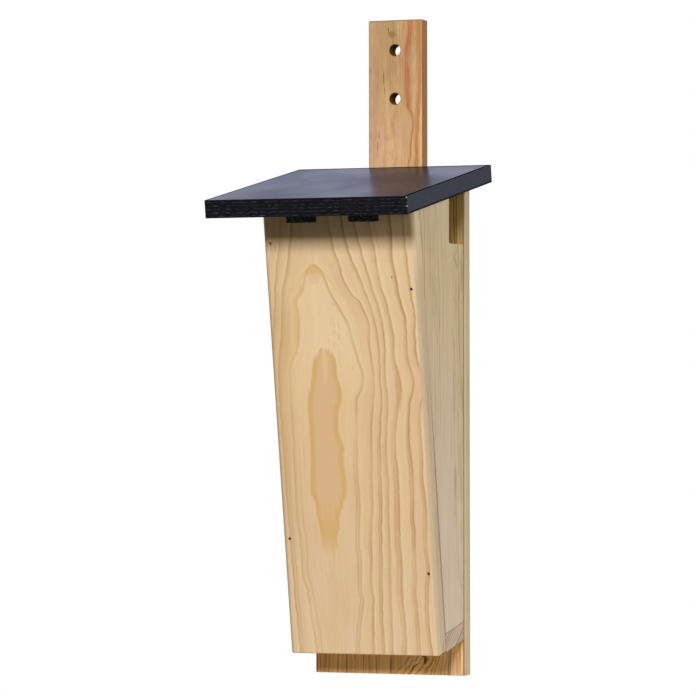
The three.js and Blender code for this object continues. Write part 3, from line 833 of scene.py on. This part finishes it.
def filmed_plywood():
    """A dark film on both faces, with black-painted edges that show the veneers."""
    graph = new_material("filmed_plywood")
    place, facing = graph.space(roof_foot, LEAN), graph.facing(LEAN)
    x, y, z = place.parts()
    rightwards, rearwards, upwards = facing.parts()
    half_width = roof_high.x
    rear = roof_high.y - front_low.y
    fleck = graph.noise(place * 0.9, 3, 0.6)
    cloud = graph.noise(place * 0.02, 3, 0.5)
    waver = graph.noise(graph.join(x / 30, y / 30, z / 3), 2, 0.5) - 0.5
    broken = graph.noise(graph.join(x / 6, y / 6, z * 1.5), 3, 0.6)
    worn_and_glinting = graph.noise(graph.join(x / 7 + 7, y / 7, z * 2.1), 3, 0.7)
    rubbed = graph.noise(graph.join(x / 70, y / 90 + 3, z), 2, 0.5)
    face = graph.rescale(abs(upwards), 0.6, 0.8)
    # Painted sheen: the right edge is coloured lighter and bluer than the others
    right_side = graph.rescale(rightwards, 0.6, 0.9)
    front_side = graph.rescale(rearwards, -0.3, -0.6)

    # Edges: glue lines between the veneers, light streaks in rows that are partly wear and partly
    # painted glints, and chips at the right corner
    from_glue = abs(((z + waver * 0.6) / VENEER).fraction() - 0.5)
    glue = graph.rescale(from_glue, 0.3, 0.46) * graph.rescale(broken, 0.42, 0.56)
    veneer = graph.rescale(from_glue, 0.26, 0.42) * graph.rescale(broken, 0.36, 0.5)
    rows = graph.rescale(abs((z / STREAK_ROW + waver * 0.3).fraction() - 0.5), 0.06, 0.2, 1.0, 0.2)
    outline = graph.rescale(z, 2.4, 1.6).most(graph.rescale(y, rear - 3.0, rear - 2.2))
    chips = spots(graph, x, z, [
        ((half_width - 0.5, 16.6), (1.1, 0.8), 1), ((half_width - 0.4, 8.2), (1.0, 0.7), 1)])
    edge = graph.mix(glue, (0.007, 0.007, 0.010), (0.0015, 0.0015, 0.003))
    edge = graph.coats(edge, [
        # Light streaks: partly wear, partly painted glints
        (graph.rescale(worn_and_glinting, 0.5, 0.62), rows, (0.058, 0.060, 0.070)),
        # Light flecks: partly wear, partly painted glints
        (graph.rescale(fleck, 0.66, 0.74), 1, (0.055, 0.056, 0.060)),
        # Painted sheen on the right edge
        (right_side, 0.75, (0.060, 0.064, 0.075)),
        (right_side * veneer, 0.7, (0.016, 0.017, 0.026)),
        (right_side, outline, (0.002, 0.002, 0.002)),
        (chips * front_side, 0.45, (0.620, 0.600, 0.580))])

    # Faces: a cloudy film with black borders at its sides and rear
    border = graph.rescale(abs(x), half_width - 3.4, half_width - 2.4)
    border = border.most(graph.rescale(y, rear - 8.0, rear - 5.0))
    film = graph.mix(cloud, (0.020, 0.0205, 0.026), (0.030, 0.031, 0.038))
    film = graph.mix(border, film, (0.003, 0.003, 0.004))

    colour = graph.mix(face, edge, film)
    roughness = graph.rescale(rubbed, 0.35, 0.65, 0.23, 0.32)
    roughness = roughness + graph.rescale(fleck, 0.3, 0.7, -0.02, 0.02)
    roughness = roughness * face + (1 - face) * 0.5
    relief = fleck * 0.1 + (1 - face) * (broken * 1.5 - glue * 2.5)
    metallic = (face * 0.42 + 0.3) * (1 - border * face)
    return graph.shade(colour, roughness, relief, depth=0.05, Metallic=metallic,
                       Specular_IOR_Level=0.0, Specular_Tint=(0.70, 0.73, 1.0))


# Fittings


def black_steel():
    """Black paint, with light specks painted in a few small places as glints."""
    graph = new_material("black_steel")
    place = graph.space()
    fleck = graph.noise(place * 1.9, 2, 0.6)
    painted_glints = graph.rescale(graph.noise(place * 0.75 + 4, 2, 0.6), 0.64, 0.70)
    # Painted glints
    colour = graph.mix(painted_glints, (0.003, 0.003, 0.003), (0.55, 0.54, 0.52))
    roughness = graph.rescale(fleck, 0.3, 0.7, 0.45, 0.6)
    return graph.shade(colour, roughness, fleck, depth=0.04, Specular_IOR_Level=0.08)


def nail_steel(name, fresh, rusted):
    """Steel that has rusted in patches."""
    graph = new_material(name)
    rust = graph.noise(graph.space() * 1.6, 3, 0.6)
    colour = graph.mix(graph.rescale(rust, 0.4, 0.6), fresh, rusted)
    roughness = graph.rescale(rust, 0.3, 0.7, 0.6, 0.8)
    return graph.shade(colour, roughness, rust, depth=0.03, Specular_IOR_Level=0.1)


def zinc_steel():
    """Zinc spangle, tarnished nearly black in places."""
    graph = new_material("zinc_steel")
    place = graph.space()
    spangle = graph.noise(place * 1.1, 2, 0.5)
    tarnish = graph.rescale(graph.noise(place * 0.45 + 5, 2, 0.6), 0.35, 0.6)
    colour = graph.mix(spangle, (0.16, 0.15, 0.14), (0.34, 0.33, 0.31))
    colour = graph.mix(tarnish * 0.9, colour, (0.020, 0.015, 0.010))
    roughness = graph.rescale(spangle, 0.3, 0.7, 0.45, 0.65)
    metallic = (1 - tarnish) * 0.8 + 0.1
    return graph.shade(colour, roughness, spangle, depth=0.03, Metallic=metallic,
                       Specular_IOR_Level=0.1)


finishes = {
    "front_panel": front_pine(),
    "floor": floor_pine(),
    "left_side": side_pine("left_side_pine", pith=(-30, -45), seed=11.0),
    "right_side": side_pine("right_side_pine", pith=(35, -45), seed=14.0),
    "back_panel": back_pine(),
    "hanging_batten": batten_pine(),
    "roof": filmed_plywood(),
}
black = black_steel()
zinc = zinc_steel()
rusty = nail_steel("nail_steel", fresh=(0.012, 0.009, 0.007), rusted=(0.050, 0.026, 0.012))

# The upper left nail head hardly shows in the photo, so it is paler than the others
finishes["front_nail_left_2"] = nail_steel(
    "bright_nail", fresh=(0.260, 0.170, 0.090), rusted=(0.400, 0.270, 0.140))


def finish_of(name):
    if name in finishes:
        return finishes[name]
    if name.startswith("hinge"):
        return black
    return rusty if "nail" in name else zinc


for name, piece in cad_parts.items():
    piece.data.materials.clear()
    piece.data.materials.append(finish_of(name))


# Room: a pale floor below the hanging box, soft lamps and a white surround

FLOOR_DROP = 0.2
FLOOR_RADIUS = 1.3
BOX_MIDDLE = Vector((0, -0.1, -0.3))


def plainly_seen(graph):
    """1 where the camera, a gloss or a clear surface looks, and 0 for light on its way round."""
    path = graph.node("LightPath")
    looks = [Number(graph, path.outputs[name])
             for name in ("Is Camera Ray", "Is Glossy Ray", "Is Transmission Ray")]
    return looks[0].most(looks[1]).most(looks[2])


def pale_floor():
    """Seen white with a soft shadow. The light that it sends on to the box is warm and fades."""
    graph = new_material("pale_floor")
    place = Triple(graph, graph.node("TexCoord").outputs["Object"])
    seen = plainly_seen(graph)
    mottle = graph.noise(place * 3.0, 3, 0.5)
    pale = graph.mix(mottle, (0.86, 0.86, 0.86), (0.9, 0.9, 0.9))
    x, y, _ = place.parts()
    far = graph.rescale((x * x + y * y).root(), 0.3, 0.55)
    bounced = graph.mix(far, (0.80, 0.76, 0.66), (0.20, 0.19, 0.16))
    lit = graph.node("BsdfDiffuse", {"Color": graph.mix(seen, bounced, pale)})
    glow = graph.node("Emission", {"Color": (1, 1, 1), "Strength": 1.0})
    both = graph.node("MixShader", {0: seen * 0.55, 1: lit.outputs[0], 2: glow.outputs[0]})
    graph.node("OutputMaterial", {0: both.outputs[0]})
    return graph.owner


bpy.ops.mesh.primitive_circle_add(vertices=96, radius=FLOOR_RADIUS, fill_type="NGON",
                                  location=(0, BOX_MIDDLE.y, cad_low.z - FLOOR_DROP))
ground = bpy.context.object
ground.name = "floor_disc"
ground.data.materials.append(pale_floor())


def lamp(name, azimuth, elevation, distance, size, power, colour):
    """A soft lamp aimed at the box, placed by degrees to the right and upwards and by metres."""
    turn = math.radians(azimuth)
    rise = math.radians(elevation)
    outwards = Vector((math.sin(turn) * math.cos(rise), -math.cos(turn) * math.cos(rise),
                       math.sin(rise)))
    data = bpy.data.lights.new(name, "AREA")
    data.shape = "RECTANGLE"
    data.size, data.size_y = size
    data.energy = power
    data.color = colour
    made = bpy.data.objects.new(name, data)
    made.location = BOX_MIDDLE + distance * outwards
    made.rotation_euler = (-outwards).to_track_quat("-Z", "Y").to_euler()
    made.visible_camera = False
    bpy.context.collection.objects.link(made)
    return made


lamp("key", azimuth=11, elevation=15.6, distance=4.5, size=(1.3, 0.72), power=172,
     colour=(1.0, 0.985, 0.96))
lamp("right_fill", azimuth=95, elevation=1, distance=3.2, size=(1.2, 1.0), power=41,
     colour=(1.0, 0.985, 0.95))
lamp("front_fill", azimuth=60, elevation=13, distance=3.2, size=(1.0, 1.0), power=21,
     colour=(1.0, 0.96, 0.78))
lamp("left_fill", azimuth=-103, elevation=14, distance=2.6, size=(0.9, 0.9), power=24,
     colour=(1.0, 0.98, 0.92))
rear_fill = lamp("rear_fill", azimuth=178, elevation=22, distance=2.6, size=(1.4, 0.9), power=45,
                 colour=(0.97, 0.98, 1.0))
rear_fill.visible_glossy = False


def surround():
    """White to look at, with only a faint warm light from all round."""
    world = bpy.data.worlds.new("studio")
    graph = Graph(world)
    faint = graph.node("Background", {"Color": (1.0, 0.95, 0.62), "Strength": 0.04})
    white = graph.node("Background", {"Color": (1, 1, 1), "Strength": 1.0})
    both = graph.node("MixShader", {
        0: plainly_seen(graph), 1: faint.outputs[0], 2: white.outputs[0]})
    graph.node("OutputWorld", {0: both.outputs[0]})
    return world


bpy.context.scene.world = surround()


# Camera, fitted to the photo's edges together with the part's sizes

YAW = math.radians(20.76)
PITCH = math.radians(0.87)
ROLL = math.radians(0.07)
CAMERA_PLACE = (1.35083, -3.71900, -0.34101)
IMAGE_SIDE_PIXELS = 696
FOCAL_PIXELS = 3837.01
SENSOR_WIDTH = 36.0

view = bpy.data.cameras.new("camera")
view.sensor_width = SENSOR_WIDTH
view.lens = SENSOR_WIDTH * FOCAL_PIXELS / IMAGE_SIDE_PIXELS
view.clip_start = 0.1
view.clip_end = 50
camera = bpy.data.objects.new("camera", view)
camera.location = CAMERA_PLACE
forward = Vector((-math.sin(YAW) * math.cos(PITCH), math.cos(YAW) * math.cos(PITCH), math.sin(PITCH)))
camera.rotation_mode = "QUATERNION"
level = forward.to_track_quat("-Z", "Y")
camera.rotation_quaternion = level @ Euler((0, 0, -ROLL)).to_quaternion()
bpy.context.collection.objects.link(camera)
bpy.context.scene.camera = camera
bpy.context.scene.view_settings.view_transform = "Standard"
